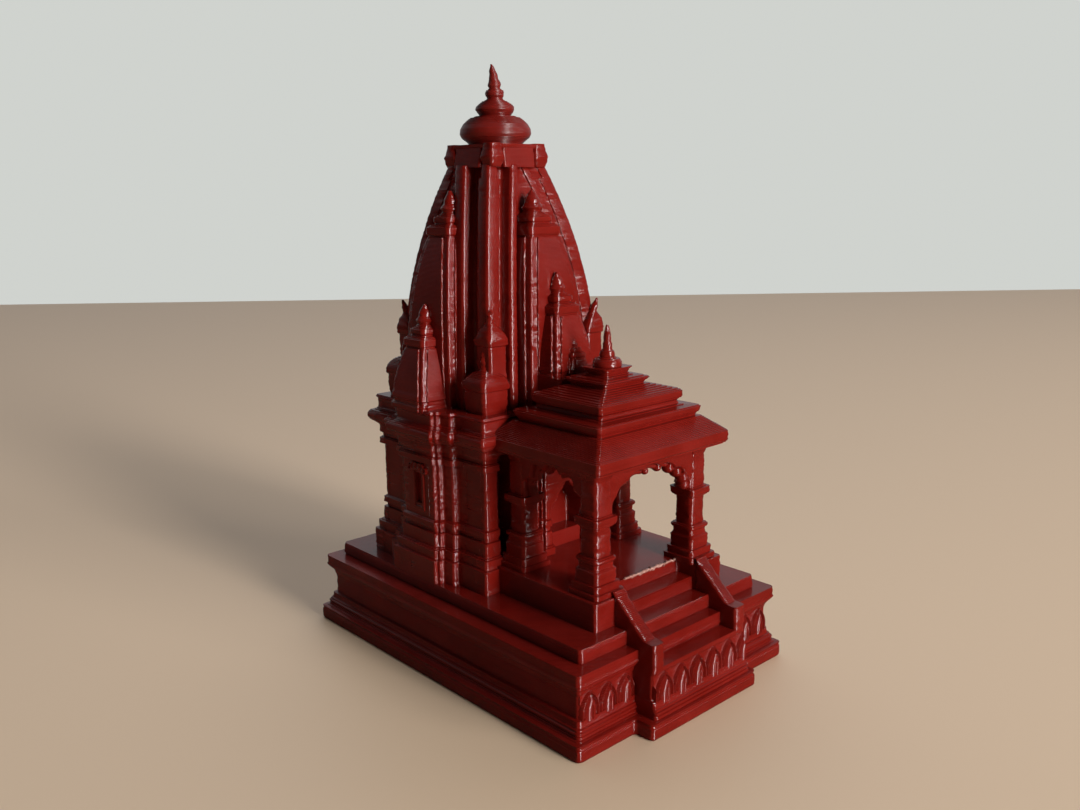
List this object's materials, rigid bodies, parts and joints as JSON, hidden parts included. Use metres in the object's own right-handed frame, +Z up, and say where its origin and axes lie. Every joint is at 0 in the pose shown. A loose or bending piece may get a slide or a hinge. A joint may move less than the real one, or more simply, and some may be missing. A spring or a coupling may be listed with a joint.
{
  "type": "desk model of a hindu temple",
  "caption": "Small printed model of a northern-style temple: moulded plinth with stair, open arched porch with stepped roof, and a square shrine under a curved tower with disc and finial.",
  "frame": {"origin": "middle of the footprint, on the surface that the model stands on", "axes": "+Z up through the tower, -Y towards the stair and the porch, +X to the right of someone facing the stair from outside"},
  "size_m": [0.0492, 0.0732, 0.1],
  "materials": {
    "red_plastic": "glossy deep red plastic, printed in fine level layers"
  },
  "bodies": {
    "root": {"arch_front": "red_plastic", "arch_left": "red_plastic", "arch_right": "red_plastic", "door_step": "red_plastic", "front_pedestal": "red_plastic", "pillar_back_left": "red_plastic", "pillar_back_right": "red_plastic", "pillar_front_left": "red_plastic", "pillar_front_right": "red_plastic", "plinth_cornice": "red_plastic", "plinth_dado": "red_plastic", "plinth_foot": "red_plastic", "porch_eave": "red_plastic", "porch_finial": "red_plastic", "porch_floor": "red_plastic", "roof_tier_1": "red_plastic", "roof_tier_2": "red_plastic", "roof_tier_3": "red_plastic", "roof_tier_4": "red_plastic", "sanctum_base": "red_plastic", "sanctum_cornice": "red_plastic", "sanctum_wall": "red_plastic", "shrine_lower_back": "red_plastic", "shrine_lower_front": "red_plastic", "shrine_lower_left": "red_plastic", "shrine_lower_right": "red_plastic", "shrine_upper_back": "red_plastic", "shrine_upper_front": "red_plastic", "shrine_upper_left": "red_plastic", "shrine_upper_right": "red_plastic", "stair_block": "red_plastic", "stair_rail_left": "red_plastic", "stair_rail_right": "red_plastic", "stair_step_2": "red_plastic", "stair_step_3": "red_plastic", "stair_step_4": "red_plastic", "terrace_slab": "red_plastic", "tower_body": "red_plastic", "tower_disc": "red_plastic", "tower_finial": "red_plastic", "tower_neck": "red_plastic", "turret_back_left": "red_plastic", "turret_back_right": "red_plastic", "turret_front_left": "red_plastic", "turret_front_right": "red_plastic"}
  },
  "joints": []
}
